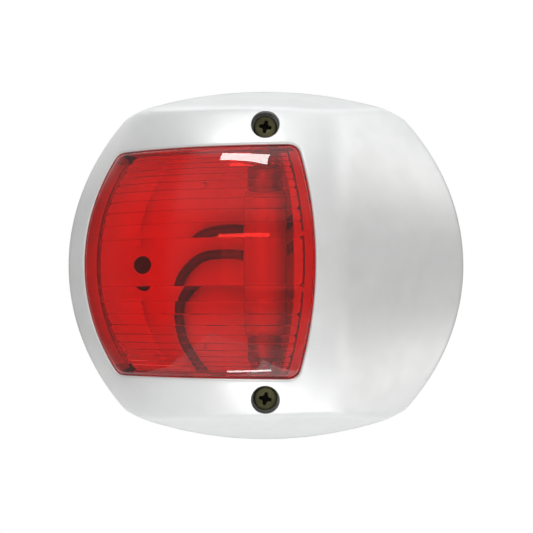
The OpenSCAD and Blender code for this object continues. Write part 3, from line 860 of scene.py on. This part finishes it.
def build_filament():
    """The filament's fine coil, and the CAD wires that hold it in the caps' metal, painted dark."""
    t = np.linspace(0, 1, COIL_TURNS * 12 + 1)
    turn = 2 * math.pi * COIL_TURNS * t
    coil = np.stack(
        [COIL_R * np.cos(turn), COIL_HALF * (2 * t - 1), BULB_D + COIL_R * np.sin(turn)], 1)
    piece = tube("bulb_filament_coil", coil, COIL_WIRE_R, 6)
    ride(piece, "bulb", "filament", TUNGSTEN, "bulb_filament")
    recoloured("bulb_filament_wires", CAP_METAL_PAINTED_DARK)


def build_bulb():
    build_glass()
    for side in SIDES:
        # The caps take the metal painted dark as painted shade
        ride(refined(f"bulb_cap_{side}", 0.12), "bulb", "bulb_cap", CAP_METAL_PAINTED_DARK, f"bulb_cap_{side}")
    build_filament()


# ---------------------------------------------------------------- base and its fittings

# The pieces that keep their CAD shape with rounded edges: node, rounding, body, slot and material
FITTINGS = [
    ("base", 0.25, "base_assembly", "base_white", BASE_WHITE),
    ("mounting_gasket", 0.1, "base_assembly", "gasket_foam", FOAM),
    ("wire_grommet", 0.15, "base_assembly", "grommet_rubber", RUBBER),
    ("threaded_inserts", 0.05, "base_assembly", "insert_brass", BRASS),
    ("contact_rivets", 0.1, "base_assembly", "rivet_brass", RIVET),
]
for side in SIDES:
    FITTINGS += [
        (f"contact_{side}_foot", 0.12, "base_assembly", "contact_nickel", NICKEL),
        (f"contact_{side}_leaf", 0.1, f"leaf_{side}", "contact_nickel", NICKEL),
        (f"terminal_{side}", 0.08, "base_assembly", "terminal_tin", TIN),
        (f"screw_washer_{side}", 0.08, f"washer_{side}", "washer_rubber", WASHER),
        (f"screw_{side}", 0.06, f"turning_screw_{side}", "screw_bronze", BRONZE),
    ]


def build_fittings():
    """The base with all that is fixed to it, and the screws and washers."""
    for node, bevel, body, slot, material in FITTINGS:
        ride(refined(node, bevel), body, slot, material, node)
    recoloured("lens_seal", SEAL)


# ---------------------------------------------------------------- stage, lights and camera

# In metres: the camera stands a little below the light's middle
CAMERA_PLACE, CAMERA_TARGET = (0, -0.375, -0.010), (0.0003, 0, -0.0003)
CAMERA_LENS = 100.3


def look_at(obj, target):
    """Turns a lamp or camera to face a point."""
    obj.rotation_euler = (Vector(target) - obj.location).to_track_quat("-Z", "Y").to_euler()


def build_camera():
    data = bpy.data.cameras.new("camera")
    data.lens, data.sensor_width, data.clip_start = CAMERA_LENS, 36.0, 0.01
    camera = bpy.data.objects.new("camera", data)
    camera.location = CAMERA_PLACE
    look_at(camera, CAMERA_TARGET)
    bpy.context.scene.collection.objects.link(camera)
    bpy.context.scene.camera = camera


def softbox(name, place, size, power, mirrored=True):
    """A rectangular lamp turned to the light; one that isn't mirrored leaves no reflection on gloss."""
    data = bpy.data.lights.new(name, "AREA")
    data.shape, data.size, data.size_y = "RECTANGLE", size[0], size[1]
    data.energy = power
    light = bpy.data.objects.new(name, data)
    light.location = place
    look_at(light, (0, 0, 0))
    light.visible_camera, light.visible_glossy = False, mirrored
    bpy.context.scene.collection.objects.link(light)


def ramp(tree, value, span, levels):
    """A soft step from one level to another as a value crosses a span."""
    node = tree.nodes.new("ShaderNodeMapRange")
    node.interpolation_type = "SMOOTHSTEP"
    node.inputs["From Min"].default_value, node.inputs["From Max"].default_value = span
    node.inputs["To Min"].default_value, node.inputs["To Max"].default_value = levels
    tree.links.new(value, node.inputs["Value"])
    return node.outputs["Result"]


def maths(tree, operation, *values):
    """One Math node, fed by sockets or plain numbers."""
    node = tree.nodes.new("ShaderNodeMath")
    node.operation = operation
    for value, socket in zip(values, node.inputs):
        if isinstance(value, float):
            socket.default_value = value
        else:
            tree.links.new(value, socket)
    return node.outputs["Value"]


# How bright the studio is as the light sees it, ahead, to the left, to the right and behind: first level
# with the light, then halfway up and down, then straight up and down
STUDIO_LOW = {"front": 0.46, "left": 0.25, "right": 0.25, "back": 0.2}
STUDIO_MID = {"front": 0.8, "left": 0.4, "right": 2.3, "back": 1.2}
STUDIO_HIGH = {"front": 1.8, "left": 0.8, "right": 1.8, "back": 1.65}
STUDIO_WARM, STUDIO_COOL = (1.0, 0.995, 0.965, 1), (0.975, 1.0, 1.02, 1)

# Where those levels change, as the height of a direction's unit vector, and where the dark wall starts
MID_FROM, HIGH_FROM, DARK_BEHIND = (0.22, 0.40), (0.60, 0.72), (0.88, 0.93)
DARK_SHARE = 0.03
AZIMUTH_BLEND = 6.0


def by_azimuth(tree, azimuth, levels):
    """Blends the levels round the studio, azimuth in degrees from straight ahead and more to the right."""
    total = levels["back"]
    steps = [(-115, "back", "left"), (-65, "left", "front"), (65, "front", "right"), (115, "right", "back")]
    for edge, before, after in steps:
        span = (edge - AZIMUTH_BLEND, edge + AZIMUTH_BLEND)
        step = ramp(tree, azimuth, span, (0.0, levels[after] - levels[before]))
        total = maths(tree, "ADD", total, step)
    return total


def blend(tree, factor, a, b):
    """a where the factor is 0, b where it is 1."""
    return maths(tree, "ADD", a, maths(tree, "MULTIPLY", factor, maths(tree, "SUBTRACT", b, a)))


def build_world():
    """White where the camera looks straight at it; as light, a studio with a dark wall straight behind."""
    world = bpy.data.worlds.new("studio")
    bpy.context.scene.world = world
    world.use_nodes = True
    tree = world.node_tree
    tree.nodes.clear()
    out = tree.nodes.new("ShaderNodeOutputWorld")
    seen, lit = tree.nodes.new("ShaderNodeBackground"), tree.nodes.new("ShaderNodeBackground")
    mix, path = tree.nodes.new("ShaderNodeMixShader"), tree.nodes.new("ShaderNodeLightPath")
    where, split = tree.nodes.new("ShaderNodeTexCoord"), tree.nodes.new("ShaderNodeSeparateXYZ")
    seen.inputs["Color"].default_value = (1, 1, 1, 1)
    tree.links.new(where.outputs["Generated"], split.inputs["Vector"])
    x, y, z = (split.outputs[axis] for axis in "XYZ")
    azimuth = maths(tree, "DEGREES", maths(tree, "ARCTAN2", x, maths(tree, "MULTIPLY", y, -1.0)))
    height = maths(tree, "ABSOLUTE", z)
    studio = (STUDIO_LOW, STUDIO_MID, STUDIO_HIGH)
    low, mid, high = (by_azimuth(tree, azimuth, levels) for levels in studio)
    level = blend(tree, ramp(tree, height, MID_FROM, (0.0, 1.0)), low, mid)
    level = blend(tree, ramp(tree, height, HIGH_FROM, (0.0, 1.0)), level, high)
    level = maths(tree, "MULTIPLY", level, ramp(tree, y, DARK_BEHIND, (1.0, DARK_SHARE)))
    tree.links.new(level, lit.inputs["Strength"])
    warmth = tree.nodes.new("ShaderNodeMix")
    warmth.data_type = "RGBA"
    warmth.inputs["A"].default_value, warmth.inputs["B"].default_value = STUDIO_WARM, STUDIO_COOL
    warm_to_cool = ramp(tree, height, (MID_FROM[0], HIGH_FROM[1]), (0.0, 1.0))
    tree.links.new(warm_to_cool, warmth.inputs["Factor"])
    tree.links.new(warmth.outputs["Result"], lit.inputs["Color"])
    tree.links.new(path.outputs["Is Camera Ray"], mix.inputs["Fac"])
    tree.links.new(lit.outputs["Background"], mix.inputs[1])
    tree.links.new(seen.outputs["Background"], mix.inputs[2])
    tree.links.new(mix.outputs["Shader"], out.inputs["Surface"])


FLOOR_HALF, FLOOR_Z = 1.5, -0.9


def build_floor():
    """A pale floor, far enough below the light that light still reaches it from beneath."""
    mesh = bpy.data.meshes.new("floor")
    corners = [(x * FLOOR_HALF, y * FLOOR_HALF, FLOOR_Z) for x, y in ((-1, -1), (1, -1), (1, 1), (-1, 1))]
    mesh.from_pydata(corners, [], [(0, 1, 2, 3)])
    floor = bpy.data.objects.new("floor", mesh)
    bpy.context.scene.collection.objects.link(floor)
    material, tree, shader = new_material("floor_pale", Roughness=0.8)
    tint(tree, noise(tree, 6.0), (0.80, 0.80, 0.80), (0.84, 0.84, 0.84), shader)
    mesh.materials.append(material)


build_camera()
build_world()
build_floor()
softbox("softbox_bottom", (0.10, -0.20, -0.42), (0.7, 0.30), 1.15)
softbox("strip_top", (-0.225, -0.395, 0.401), (0.23, 0.06), 0.8)
softbox("strip_bottom", (-0.205, -0.400, -0.403), (0.21, 0.025), 0.3)
softbox("fill_front", (-0.18, -0.56, 0.0), (0.4, 0.4), 0.75, mirrored=False)
scene = bpy.context.scene
scene.view_settings.view_transform = "Standard"
scene.cycles.max_bounces = 24
scene.cycles.diffuse_bounces = 12
scene.cycles.transmission_bounces = 20

build_fittings()
build_leads()
build_bulb()
build_cover()
build_screen()
build_lens()
